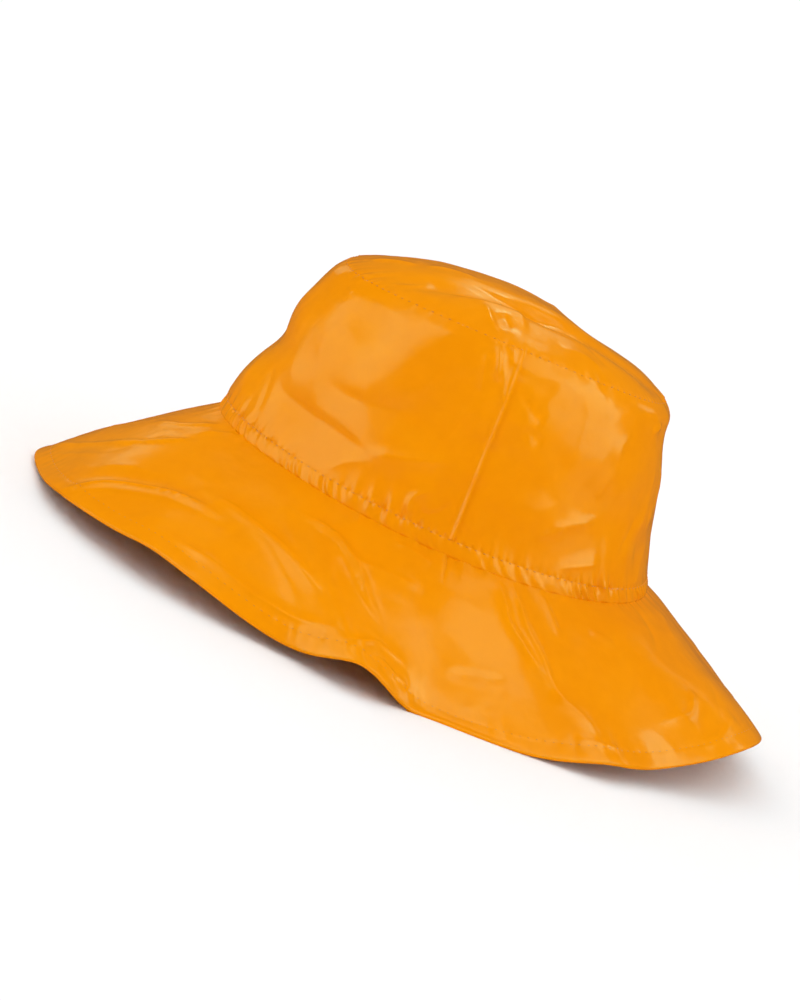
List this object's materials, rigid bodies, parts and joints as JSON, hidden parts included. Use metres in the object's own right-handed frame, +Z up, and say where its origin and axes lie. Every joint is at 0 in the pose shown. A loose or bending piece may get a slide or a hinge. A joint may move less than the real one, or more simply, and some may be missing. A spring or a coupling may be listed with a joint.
{
  "type": "rain hat",
  "caption": "Soft rain hat in glossy coated cloth: an oval puffed tip, a crown that leans in, a narrow puckered band at its base and a wide waving brim.",
  "frame": {"origin": "on the surface that the hat rests on, under the middle of its box", "axes": "+Z up through the crown, -Y towards the hat's front, +X towards the wearer's left"},
  "size_m": [0.302, 0.3306, 0.1485],
  "materials": {
    "coated_cloth": "glossy orange coated cloth",
    "thread": "orange sewing thread"
  },
  "bodies": {
    "root": {"crown_tip": "coated_cloth", "crown_front_panel": "coated_cloth", "crown_back_panel": "coated_cloth", "base_band": "coated_cloth", "brim_front_panel": "coated_cloth", "brim_back_panel": "coated_cloth", "brim_hem": "coated_cloth"}
  },
  "joints": []
}
